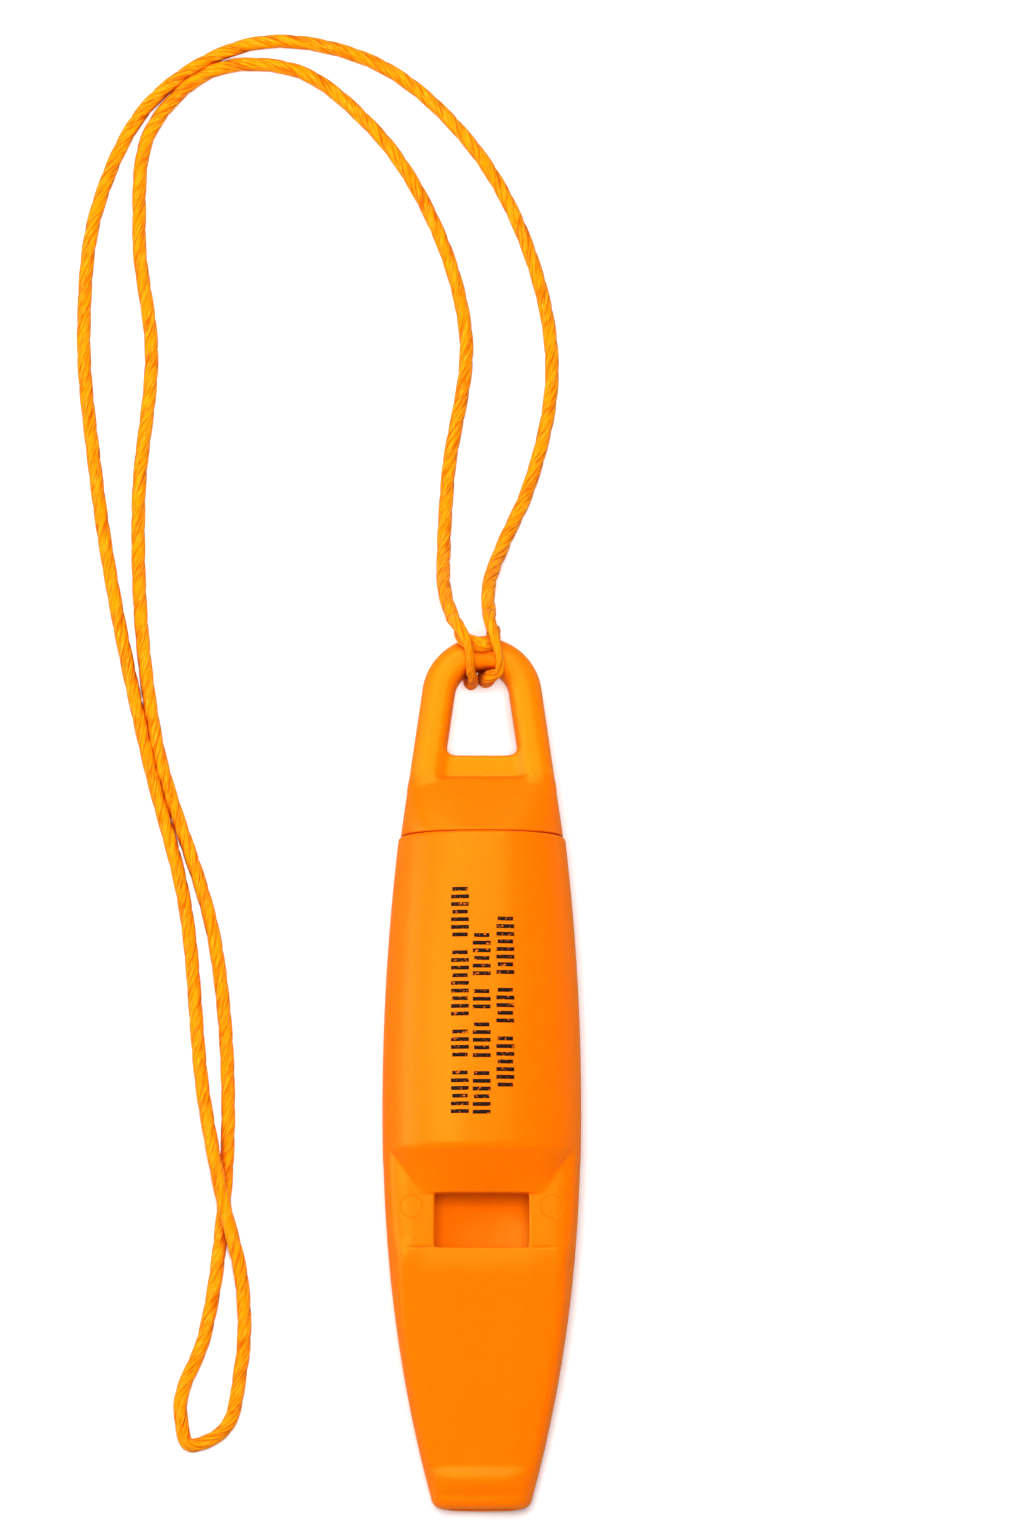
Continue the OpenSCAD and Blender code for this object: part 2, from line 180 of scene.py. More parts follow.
def graded(stops):
    """Grid values through [value, step] stops: each stretch is cut evenly at about its own step."""
    rows = []
    for (start, step), (end, _) in zip(stops, stops[1:]):
        count = max(2, round((end - start) / step) + 1)
        rows.append(np.linspace(start, end, count)[:-1])
    return np.concatenate(rows + [[stops[-1][0]]])


def edge_neighbours(faces):
    """Both ends of every side of the quads."""
    return np.concatenate([faces[:, [i, (i + 1) % 4]] for i in range(4)])


def onto_surface(field, points, rounds=4, h=0.02, reach=0.15, least=0.05):
    """Newton steps, value / slope², along the gradient of the field, which bring points onto its zero. The
    slope is taken over h to both sides. Its square counts as the least or more, and a step goes no further
    than the reach."""
    for _ in range(rounds):
        value = field(*points.T)
        slope = np.stack(
            [(field(*(points + d).T) - field(*(points - d).T)) / (2 * h) for d in np.eye(3) * h], axis=1
        )
        step = value / np.maximum((slope * slope).sum(1), least)
        points = points - np.clip(step[:, None] * slope, -reach, reach)
    return points


def surface_net(field, axes, relaxing=2):
    """Closed quad mesh of a field's zero. Each grid cell that the surface crosses gets one vertex, at the
    mean of the crossings on its sides, and each crossed grid side gets the quad of the four cells round it.
    The vertices then move halfway to the mean of their neighbours and back onto the surface, a few times."""
    values = field(*np.meshgrid(*axes, indexing="ij", sparse=True))
    inside = values < 0
    cells = tuple(n - 1 for n in values.shape)
    total = np.zeros(cells + (3,))
    count = np.zeros(cells)
    quads = []
    for axis in range(3):
        low = [slice(None)] * 3
        high = [slice(None)] * 3
        low[axis], high[axis] = slice(None, -1), slice(1, None)
        low, high = tuple(low), tuple(high)
        at = np.argwhere(inside[low] != inside[high])
        index = tuple(at.T)
        a, b = values[low][index], values[high][index]
        share = a / (a - b)
        points = np.stack([axes[i][at[:, i]] for i in range(3)], axis=1).astype(float)
        span = axes[axis][at[:, axis] + 1] - axes[axis][at[:, axis]]
        points[:, axis] += share * span
        one, two = (axis + 1) % 3, (axis + 2) % 3
        around = []
        for step_one, step_two in ((-1, -1), (0, -1), (0, 0), (-1, 0)):
            cell = at.copy()
            cell[:, one] += step_one
            cell[:, two] += step_two
            around.append(cell)
            np.add.at(total, tuple(cell.T), points)
            np.add.at(count, tuple(cell.T), 1)
        corner = np.stack([np.ravel_multi_index(tuple(c.T), cells) for c in around], axis=1)
        leaving = inside[low][index]
        quads.append(np.where(leaving[:, None], corner, corner[:, ::-1]))
    used = count.ravel() > 0
    number = np.cumsum(used) - 1
    points = total.reshape(-1, 3)[used] / count.ravel()[used][:, None]
    faces = number[np.concatenate(quads)]
    ends = edge_neighbours(faces)
    for _ in range(relaxing):
        points = onto_surface(field, points, rounds=2)
        pull = np.zeros_like(points)
        near = np.zeros(len(points))
        np.add.at(pull, ends[:, 0], points[ends[:, 1]])
        np.add.at(near, ends[:, 0], 1)
        points = (points + pull / near[:, None]) / 2
    return onto_surface(field, points), faces


def as_object(name, points, *faces, body="root"):
    """Object at the origin, shaded smooth, from points in millimetres and one or more arrays of faces, each
    with its own number of sides."""
    mesh = bpy.data.meshes.new(name)
    corners = np.concatenate([group.ravel() for group in faces]).astype(np.int32)
    sides = np.concatenate([np.full(len(group), group.shape[1]) for group in faces])
    mesh.vertices.add(len(points))
    mesh.vertices.foreach_set("co", (points * MM).astype(np.float32).ravel())
    mesh.loops.add(len(corners))
    mesh.loops.foreach_set("vertex_index", corners)
    mesh.polygons.add(len(sides))
    mesh.polygons.foreach_set("loop_start", (np.cumsum(sides) - sides).astype(np.int32))
    mesh.polygons.foreach_set("use_smooth", np.ones(len(sides), dtype=bool))
    mesh.update(calc_edges=True)
    mesh.validate()
    piece = bpy.data.objects.new(name, mesh)
    bpy.context.scene.collection.objects.link(piece)
    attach(piece, body)
    return piece


def slab_faces(rows, columns):
    """Quads of a thin slab: its top grid, its bottom grid turned over, and the strips between their rims."""
    i, j = np.meshgrid(np.arange(rows - 1), np.arange(columns - 1), indexing="ij")
    a = (i * columns + j).ravel()
    top = np.stack([a, a + columns, a + columns + 1, a + 1], axis=1)
    size_of_one = rows * columns
    bottom = top[:, ::-1] + size_of_one
    rim = np.concatenate([
        np.arange(0, (rows - 1) * columns, columns),
        (rows - 1) * columns + np.arange(columns - 1),
        np.arange(rows * columns - 1, columns - 1, -columns),
        np.arange(columns - 1, 0, -1),
    ])
    after = np.roll(rim, -1)
    strip = np.stack([after, rim, rim + size_of_one, after + size_of_one], axis=1)
    return np.concatenate([top, bottom, strip])


# Form of the mouldings


class Form:
    """The mouldings' sizes in millimetres, with the curves that the fields share."""

    # Exponents of the side curves
    mouth_curve = 2.2
    seam_curve = 2.0
    # Exponents of the ovals of the barrel, of the bar of the eye and of its feet
    section = 2.2
    bar_section = 3.0
    foot_section = 4.2
    # Front of the mouthpiece
    level_len = 2.4
    level_round = 1.6
    crown = 0.55
    crown_curve = 3.0
    crown_reach = 3.5
    swell = 0.14
    swell_half = 5.8
    swell_side = 1.8
    swell_from = 1.6
    swell_to = 4.5
    # Bite lip
    bite_at = 2.8
    bite_len = 2.8
    bite_curve = 4
    # Ramp: the bulge of its lip, and how steeply its field falls beside it
    lip_rise = 0.25
    lip_curve = 6
    side_fall = 2.0
    ramp_slope = 1.25
    # Eye, and the web between its feet
    bar_crest = 0.4
    web_fillet = 1.5
    web_rise = 0.35
    # Seam, plug and hitch
    seam_step = 0.15
    plug_len = 5.0
    plug_wall = 1.4
    plug_gap = 0.1
    hitch_gap = 0.1

    def __init__(self, sizes):
        for key in MouldingSizes.__annotations__:
            setattr(self, key, getattr(sizes, key) / MM)
        self.body_w = BODY_HIGH[0] - BODY_LOW[0]
        self.body_depth = BODY_HIGH[2]
        self.sill = Y_MOUTH + self.mouthpiece_len
        self.lip = self.sill + self.window_len
        self.ring = self.lip + self.ramp_len
        self.widest = self.ring + self.widest_up
        self.feet = Y_SEAM + self.shoulder_len
        self.eye_y = Y_TOP - self.eye_r
        self.bar_r = self.eye_r - self.eye_bar / 2
        self.cap_seam_w = self.seam_w / 2 - self.seam_step
        reach = math.hypot(self.cap_seam_w, Y_SEAM - self.eye_y)
        self.side = math.atan2(Y_SEAM - self.eye_y, self.cap_seam_w) + math.acos(self.eye_r / reach)

    def to_mouth(self, y):
        """Share of the way from the widest place to the mouth."""
        return np.maximum(0, (self.widest - y) / (self.widest - Y_MOUTH))

    def to_seam(self, y):
        """Share of the way from the widest place to the seam."""
        return np.maximum(0, (y - self.widest) / (Y_SEAM - self.widest))

    def half_w(self, y):
        """Half width: a power curve to the mouth and a parabola to the seam."""
        return (
            self.body_w / 2
            - (self.body_w - self.mouth_w) / 2 * self.to_mouth(y) ** self.mouth_curve
            - (self.body_w - self.seam_w) / 2 * self.to_seam(y) ** self.seam_curve
        )

    def parting(self, y):
        """Height of the parting line, which drops to the middle of the mouth by the side curve."""
        drop = self.parting_h - self.mouth_lift - self.mouth_depth / 2
        return self.parting_h - drop * self.to_mouth(y) ** self.mouth_curve

    def up(self, y):
        """Height of the crest over the parting line: in step with the width, and a parabola to the seam."""
        full = self.body_depth - self.parting_h
        return np.where(
            y < self.widest,
            full * self.half_w(y) / (self.body_w / 2),
            full - self.seam_drop * self.to_seam(y) ** self.seam_curve,
        )

    def down(self, y):
        """Depth of the back under the parting line. It reaches past the flat that the whistle rests on."""
        return (
            self.parting(y)
            + self.back_flat
            - (self.mouth_lift + self.back_flat) * self.to_mouth(y) ** self.mouth_curve
            - (self.seam_drop + self.back_flat) * self.to_seam(y) ** self.seam_curve
        )

    def bite(self, y):
        """Height of the bite lip, a parabola along the whistle."""
        return self.bite_h * np.maximum(0, 1 - ((y - Y_MOUTH - self.bite_at) / (self.bite_len / 2)) ** 2)

    def front(self, x, y):
        """Height of the flats and, past the sill, of the front of the mouthpiece. The front stays level for a
        short way and then falls as a plane. A cubic crown lowers its sides, and a slight swell with soft
        shoulders lifts its middle next to the sill. The bite lip stands on it and fades to the sides."""
        below = np.maximum(0, self.sill - y)
        side = np.minimum(1, np.abs(x) / self.half_w(y))
        fall = self.cheek_h - self.mouth_lift - self.mouth_depth
        run = smooth_max(below - self.level_len, 0, self.level_round) / (self.mouthpiece_len - self.level_len)
        crown = self.crown * (1 - np.exp(-((below / self.crown_reach) ** 2))) * side**self.crown_curve
        near_sill = (1 - np.exp(-((below / self.swell_from) ** 2))) * np.exp(-((below / self.swell_to) ** 2))
        swell = self.swell * soft_step((self.swell_half - np.abs(x)) / self.swell_side + 0.5) * near_sill
        return self.cheek_h - fall * run - crown + swell + self.bite(y) * (1 - side**self.bite_curve)

    def oval_top(self, x, y, inset):
        """Height of the oval above the surface at distance x from the middle."""
        share = np.minimum(1, np.abs(x) / (self.half_w(y) - inset))
        return self.parting(y) + (self.up(y) - inset) * (1 - share**self.section) ** (1 / self.section)

    def shell(self, x, y, z, inset):
        """Field of the whole oval body, drawn in all round. Without an inset it has the back's bite lip."""
        level = z - self.parting(y)
        side = np.minimum(1, np.abs(x) / self.half_w(y))
        if inset == 0:
            level = level + self.bite(y) * (1 - side**self.bite_curve) * np.clip(-level, 0, 1)
        w = self.half_w(y) - inset
        return oval(x, level, w, self.up(y) - inset, self.down(y) - inset, self.section)

    def ramp(self, x, y, z, base, lip_half, rise, inset):
        """Field under the ramp. Straight lines run from the low lip to the barrel's oval above the base."""
        ring = np.array(self.ring)
        share = (base - self.parting(ring)) / (self.up(ring) - inset)
        far = (self.half_w(ring) - inset) * (1 - share**self.section) ** (1 / self.section)
        k = (y - self.lip) / self.ramp_len
        half = mix(lip_half, far, k)
        side = np.clip(np.abs(x) / half, 0, 1)
        top = mix(base + rise * (1 - side**self.lip_curve), self.oval_top(far * side, ring, inset), k)
        top = top - self.side_fall * np.maximum(0, np.abs(x) - half)
        return (z - top) / self.ramp_slope


def body_field(form):
    """Field of the body, below zero in the plastic: the oval cut to its flats, with the ramp left standing,
    less the chamber, the window and the windway, each edge rounded by its own radius."""
    window_half = form.window_w / 2
    window_middle = (form.sill + form.lip) / 2
    ceiling = form.cheek_h - form.cheek_t
    mouth_z = form.mouth_lift + form.mouth_depth / 2 + form.windway_h / 2
    rise = (form.cheek_h - form.windway_roof - mouth_z) / form.mouthpiece_len
    spread = (form.window_w - form.windway_mouth_w) / 2 / form.mouthpiece_len
    # The crease begins beside the window and fades out towards the sides
    crease_from, crease_begin = window_half + 0.2, 0.4
    crease_to, crease_fade = form.body_w * 0.4, 1.5
    crease_w = 0.11
    # Radii of the outer edges. Those of the flats get tighter along the mouthpiece, over a short way
    flats_r, mouthpiece_r, tightening = 1.1, 0.5, 2.0
    ramp_r, ramp_lip_r, ramp_foot_r = 0.25, 0.15, 0.12
    mouth_r, seam_r, back_r = 1.0, 0.45, 0.2
    # Radii inside: of the hollows themselves, and of the edges where they come out
    roof_r, chamber_r, window_r, windway_r = 0.2, 0.4, 0.3, 0.3
    chamber_out_r, window_out_r, windway_out_r = 0.2, 0.22, 0.25
    # How far the room under the ramp begins before its lip, and the windway runs into the chamber
    room_ahead, overlap = 0.6, 0.3

    def field(x, y, z):
        along_crease = np.clip((np.abs(x) - crease_from) / crease_begin, 0, 1)
        along_crease = along_crease * np.clip((crease_to - np.abs(x)) / crease_fade, 0, 1)
        front = form.front(x, y) - form.crease * along_crease * np.exp(-(((y - form.sill) / crease_w) ** 2))
        ramp = form.ramp(x, y, z, form.cheek_h, form.ramp_lip_w / 2, form.lip_rise, 0)
        ramp = smooth_max(ramp, form.lip - y, ramp_lip_r)
        shell = form.shell(x, y, z, 0)
        edge_r = mix(mouthpiece_r, flats_r, np.clip((y - form.sill) / tightening + 0.5, 0, 1))
        flats = smooth_max(shell, z - front, edge_r)
        solid = smooth_min(flats, smooth_max(shell, ramp, ramp_r), ramp_foot_r)
        solid = smooth_max(solid, Y_MOUTH - y, mouth_r)
        solid = smooth_max(solid, y - Y_SEAM, seam_r)
        solid = smooth_max(solid, -z, back_r)
        room = form.ramp(x, y, z, ceiling, window_half, form.cheek_t - form.lip_t, form.wall)
        room = smooth_min(z - ceiling, np.maximum(room, form.lip - room_ahead - y), roof_r)
        chamber = smooth_max(form.shell(x, y, z, form.wall), room, chamber_r)
        chamber = smooth_max(chamber, form.sill - y, chamber_r)
        along = np.abs(y - window_middle) - form.window_len / 2
        window = smooth_max(np.abs(x) - window_half, along, window_r)
        window = np.maximum(window, form.parting_h - z)
        run = y - Y_MOUTH
        windway = smooth_max(
            np.abs(x) - form.windway_mouth_w / 2 - spread * run,
            np.abs(z - mouth_z - rise * run + form.windway_h / 2) - form.windway_h / 2,
            windway_r,
        )
        windway = np.maximum(windway, y - form.sill - overlap)
        solid = smooth_max(solid, -chamber, chamber_out_r)
        solid = smooth_max(solid, -window, window_out_r)
        return smooth_max(solid, -windway, windway_out_r)

    return field


def cap_field(form):
    """Field of the end cap: the shoulder, whose section turns from the oval of the seam to a flat with
    round sides, the bar bent over the arch of the eye, the thin web between its feet and the
    hollow plug, blended where they meet."""
    foot = form.eye_depth / 2
    up_seam = float(form.up(np.array(Y_SEAM))) - form.seam_step
    down_seam = float(form.down(np.array(Y_SEAM))) - form.seam_step
    gap = form.wall + form.plug_gap
    slope, turn = math.tan(form.side), math.cos(form.side)
    core_end = Y_SEAM + form.shoulder_len / 3
    shoulder_r, seam_r, web_r, leg_r, plug_r, bore_r = 0.4, 0.25, 0.5, 0.9, 0.3, 0.3
    # How far the bar and the web go on into the shoulder, and the plug into the cap
    bar_root, web_root, plug_root = 1.2, 0.8, 0.8
    # The blend at the feet is narrow at the sides and below the feet, and wider between the legs
    feet_r, feet_more = 0.1, 0.35
    inset, inset_soft, below_feet = 1.0, 1.5, 1.1

    def field(x, y, z):
        level = z - form.parting_h
        k = np.clip((y - Y_SEAM) / form.shoulder_len, 0, 1)
        w = form.eye_r / turn - (y - form.eye_y) * slope
        power = mix(form.section, form.foot_section, k)
        shoulder = oval(x, level, w, mix(up_seam, foot, k), mix(down_seam, foot, k), power)
        shoulder = smooth_max(shoulder, y - form.feet, shoulder_r)
        shoulder = smooth_max(shoulder, Y_SEAM - y, seam_r)
        side = np.abs(x)
        rise = y - form.eye_y
        on_arch = np.arctan2(rise, side) >= form.side
        line = side * turn + rise * math.sin(form.side)
        u = np.where(on_arch, np.hypot(side, rise), line) - form.bar_r + form.bar_crest
        reach = form.eye_bar / 2 + np.where(u >= 0, form.bar_crest, -form.bar_crest)
        mean = (np.abs(u) / reach) ** form.bar_section + (np.abs(level) / foot) ** form.bar_section
        bar = (np.maximum(mean, 1e-9) ** (1 / form.bar_section) - 1) * form.eye_bar / 2
        bar = np.maximum(bar, form.feet - bar_root - y)
        inner = w - form.eye_bar / 2
        near_leg = np.clip((side - inner + form.eye_bar / 2) / form.web_fillet + 1, 0, 1)
        web_top = form.feet + form.web_len + form.web_rise * near_leg**2
        web = smooth_max(np.abs(level) - form.web_depth / 2, y - web_top, web_r)
        web = np.maximum(np.maximum(web, side - inner), form.feet - web_root - y)
        between = np.clip((w - side - inset) / inset_soft, 0, 1)
        blend = feet_r + feet_more * between * soft_step(1 + (y - form.feet) / below_feet)
        solid = smooth_min(smooth_min(bar, web, leg_r), shoulder, blend)
        at = np.minimum(y, Y_SEAM)
        plug_ends = np.maximum(Y_SEAM - form.plug_len - y, y - Y_SEAM - plug_root)
        plug = smooth_max(form.shell(x, at, z, gap), plug_ends, plug_r)
        core = np.maximum(form.shell(x, at, z, gap + form.plug_wall), y - core_end)
        return smooth_max(np.minimum(solid, plug), -core, bore_r)

    return field


# The cord


def hitch_points(form, d):
    """Middle line of the cow hitch from its right strand to its left one, in millimetres, and the share of
    the full thickness there: the strands are pulled thin where they bend over the front. The line goes round
    the bar's own section, held off by its height above it. The strands come in over the closed end.
    Lengths are in cord diameters. The angle round the bar is 0 outside the arch, 90 in front, 180 in the
    hole, 270 behind, and goes on to 440 at the closed end."""
    # Incoming strands, each row: angle, distance from the middle, height, share of the thickness
    left = [[28, 2.05, 1.15, 1], [45, 1.86, 1.15, 0.95], [62, 1.55, 1.1, 0.85], [79, 1.1, 1, 0.7]]
    right = [[28, 0.5, 1.15, 1], [45, 0.55, 1.15, 0.95], [62, 0.65, 1.1, 0.85], [79, 0.92, 1, 0.7]]
    # Legs round the bar, each row: angle, distances of the right and the left leg from the middle, height,
    # shares of the thickness of the right and the left leg
    legs = [
        [95, 1.28, 0.83, 0.6, 0.62, 0.6],
        [112, 1.22, 0.8, 0.28, 0.68, 0.62],
        [130, 0.98, 0.78, 0.05, 0.8, 0.66],
        [155, 0.62, 0.68, 0, 0.98, 0.75],
        [180, 0.36, 0.62, 0, 1.12, 0.85],
        [205, 0.2, 0.78, 0, 1, 0.95],
        [230, 0.15, 0.86, 0, 1, 1],
        [255, 0.25, 0.95, 0, 1, 1],
        [280, 0.45, 1, 0, 1, 1],
        [305, 0.65, 1.1, 0, 1, 1],
        [330, 0.75, 1.3, 0, 1, 1],
        [352, 0.8, 1.45, 0, 1, 1],
        [375, 0.82, 1.5, 0, 1, 1],
        [402, 0.85, 1.45, 0, 1, 1],
        [418, 0.85, 1.3, 0, 1.05, 1.05],
        [432, 0.6, 0.85, 0, 1.1, 1.1],
    ]
    closed_end = [440, -0.15, 0, 1.15]
    right = right + [[row[0], row[1], row[3], row[4]] for row in legs]
    left = left + [[row[0], row[2], row[3], row[5]] for row in legs]
    rows = np.array(right + [closed_end] + left[::-1])
    side = np.where(np.arange(len(rows)) > len(right), -1, 1)
    cos, sin = np.cos(np.radians(rows[:, 0])), np.sin(np.radians(rows[:, 0]))
    above = d / 2 + form.hitch_gap + rows[:, 2] * d
    crest = np.where(cos >= 0, form.bar_crest, -form.bar_crest)
    power = 2 / form.bar_section
    out = (form.eye_bar / 2 + crest + above) * np.sign(cos) * np.abs(cos) ** power - form.bar_crest
    up = (form.eye_depth / 2 + above) * np.sign(sin) * np.abs(sin) ** power
    x = rows[:, 1] * d * side
    y = form.eye_y + np.sqrt((form.bar_r + out) ** 2 - x**2)
    return np.stack([x, y, form.parting_h + up, rows[:, 3]], axis=1)


def route_points(floor):
    """Points of the cord's route between its two ends at the hitch, in millimetres. The floor is the height
    of a cord that lies flat. Where two strands cross, one rises over the other."""
    over = floor * 3.2
    return np.array([
        [-3.8, 50.6, 8.1], [-4.1, 57.6, 2.2],
        [-3.7, 65, floor], [-1.8, 81, floor], [-5.2, 93, floor], [-12, 103.6, floor],
        [-20.5, 109.9, floor], [-29, 109.8, floor], [-35.6, 103.5, floor],
        [-37, 92, floor], [-35.6, 79, floor], [-36.9, 63, floor],
        [-35, 37, floor], [-28.4, 14, floor], [-27.1, 0, floor],
        [-27.6, -15, floor], [-29.6, -28, floor], [-32, -35.4, floor],
        [-31, -39.2, floor], [-27.8, -38, floor], [-25.6, -31, floor],
        [-25.5, -22, floor + 0.5], [-27.6, -13, over], [-29.5, -3, floor + 0.4],
        [-32, 20, floor], [-35.6, 34, floor], [-41.6, 66, floor],
        [-42.9, 81, floor], [-41.4, 95, floor], [-35.5, 106.6, floor],
        [-24.5, 112.8, floor], [-12, 110.8, floor], [-1.5, 102, floor], [5, 90, floor],
        [7.5, 77, floor], [4.8, 63.5, floor], [2.3, 57.6, 2.3], [0.65, 51, 8.3],
    ])


def smooth_line(points, steps=24):
    """Cubic Hermite curve through the points. Each point's heading is the mean of the directions on both
    sides, weighted by the span on the other side."""
    spans = np.linalg.norm(np.diff(points[:, :3], axis=0), axis=1)[:, None]
    rates = np.diff(points, axis=0) / spans
    inner = (rates[:-1] * spans[1:] + rates[1:] * spans[:-1]) / (spans[:-1] + spans[1:])
    heading = np.concatenate([rates[:1], inner, rates[-1:]])
    t = (np.arange(steps) / steps)[None, :, None]
    a, b = points[:-1, None], points[1:, None]
    m, n = (heading[:-1] * spans)[:, None], (heading[1:] * spans)[:, None]
    line = (2 * t**3 - 3 * t**2 + 1) * a + (3 * t**2 - 2 * t**3) * b
    line = line + (t**3 - 2 * t**2 + t) * m + (t**3 - t**2) * n
    return np.concatenate([line.reshape(-1, points.shape[1]), points[-1:]])


def even_line(line, step):
    """The same line cut into even steps of about that length. Values past the three places go along."""
    run = np.concatenate([[0], np.cumsum(np.linalg.norm(np.diff(line[:, :3], axis=0), axis=1))])
    at = np.linspace(0, run[-1], round(run[-1] / step) + 1)
    return np.stack([np.interp(at, run, values) for values in line.T], axis=1)


def loop_of_cord(context, step=0.3, points=30, groove=0.15, groove_w=0.3):
    """Rings of the whole closed loop, first the route and then the hitch, as an array of rings by points.
    The section is round, with a soft groove between each two plies, a bell curve of the angle, and turns
    once for each lay. The turning is evened out so that the loop closes on itself. Gives the middle line,
    the rings, the place of each ring along the loop and the number of the ring where the hitch begins."""
    sizes = context.scene.lanyard_sizes
    form = Form(context.scene.moulding_sizes)
    d, lay, plies = sizes.cord_d / MM, sizes.lay / MM, sizes.plies
    hitch = hitch_points(form, d)
    free = smooth_line(np.concatenate([hitch[-1:, :3], route_points(d / 2), hitch[:1, :3]]))
    free[:, 2] = np.maximum(free[:, 2], d / 2)
    free = even_line(free, step)
    wound = even_line(smooth_line(hitch), step)[1:]
    line = np.concatenate([free, wound[:, :3]])
    thickness = np.concatenate([np.ones(len(free)), wound[:, 3]])
    at = np.concatenate([[0], np.cumsum(np.linalg.norm(np.diff(line, axis=0), axis=1))])
    ahead = np.gradient(line, axis=0)
    ahead[0] = ahead[-1] = line[1] - line[-2]
    ahead /= np.linalg.norm(ahead, axis=1)[:, None]
    side = np.zeros_like(line)
    carried = np.array([1.0, 0, 0])
    for i, way in enumerate(ahead):
        carried = carried - way * (carried @ way)
        carried = carried / np.linalg.norm(carried)
        side[i] = carried
    top = np.cross(side, ahead)
    off = math.atan2(side[-1] @ top[0], side[-1] @ side[0])
    turns = round(at[-1] / lay - off / (2 * math.pi)) + off / (2 * math.pi)
    angle = 2 * np.pi * np.arange(points) / points
    # The angle from the nearest groove
    valley = (angle * plies + np.pi) % (2 * np.pi) / plies - np.pi / plies
    radius = d / 2 * (1 - groove * np.exp(-((valley / groove_w) ** 2)))
    turned = angle[None, :] - 2 * np.pi * turns * at[:, None] / at[-1]
    across = np.cos(turned)[..., None] * side[:, None] + np.sin(turned)[..., None] * top[:, None]
    rings = line[:, None] + (thickness[:, None] * radius)[..., None] * across
    return line, rings, at, len(free) - 1


def cord_piece(name, line, rings, at, diameter):
    """Closed tube over the rings, with a fan at each end. Its attribute fibre holds the place on the cord
    turned back straight, so that a pattern on it follows the twist."""
    count, points = rings.shape[:2]
    i, j = np.meshgrid(np.arange(count - 1), np.arange(points), indexing="ij")
    a = i * points + j
    b = i * points + (j + 1) % points
    quads = np.stack([a, b, b + points, a + points], axis=-1).reshape(-1, 4)
    j = np.arange(points)
    n = (j + 1) % points
    first, last = count * points, (count - 1) * points
    fans = np.concatenate([
        np.stack([n, j, np.full(points, first)], axis=1),
        np.stack([last + j, last + n, np.full(points, first + 1)], axis=1),
    ])
    verts = np.concatenate([rings.reshape(-1, 3), line[:1], line[-1:]])
    piece = as_object(name, verts, quads, fans)
    angle = 2 * np.pi * j / points
    place = at * 2 / diameter
    straight = np.stack(
        [np.tile(np.cos(angle), count), np.tile(np.sin(angle), count), np.repeat(place, points)], axis=1
    )
    straight = np.concatenate([straight, [[0, 0, place[0]], [0, 0, place[-1]]]])
    layer = piece.data.attributes.new("fibre", "FLOAT_VECTOR", "POINT")
    layer.data.foreach_set("vector", straight.astype(np.float32).ravel())
    return piece


# Materials

# Sockets of a Mix node that mixes colours: what it gives at 0 and at 1, and its result
AT_0, AT_1, MIXED = 6, 7, 2


def add_node(tree, kind, settings=None, links=None):
    """A node with its settings. A setting names an input or an attribute, and a link gives the output that
    an input takes, or the node whose first output it takes."""
    node = tree.nodes.new(kind)
    for key, value in (settings or {}).items():
        if isinstance(key, int) or key in node.inputs:
            node.inputs[key].default_value = value
        else:
            setattr(node, key, value)
    for key, source in (links or {}).items():
        output = source.outputs[0] if isinstance(source, bpy.types.Node) else source
        tree.links.new(output, node.inputs[key])
    return node


def new_material(name):
    """An empty material of that name, and its node tree."""
    material = bpy.data.materials.new(name)
    material.use_nodes = True
    tree = material.node_tree
    tree.nodes.clear()
    return material, tree


def with_painted_nook_shade(tree, tone, painted_nook_shade, reach_mm):
    """The tone where a face is open, and painted shade, the colour for narrow corners, where other faces
    stand closer than the reach, as ambient occlusion finds them.
    """
    room = add_node(tree, "ShaderNodeAmbientOcclusion", {"samples": 8, "Distance": reach_mm * MM})
    free = add_node(
        tree, "ShaderNodeMapRange", {"From Min": 0.3, "From Max": 0.85}, {"Value": room.outputs["AO"]}
    )
    mixed = add_node(
        tree, "ShaderNodeMix", {"data_type": "RGBA", AT_0: painted_nook_shade}, {"Factor": free, AT_1: tone}
    )
    return mixed.outputs[MIXED]


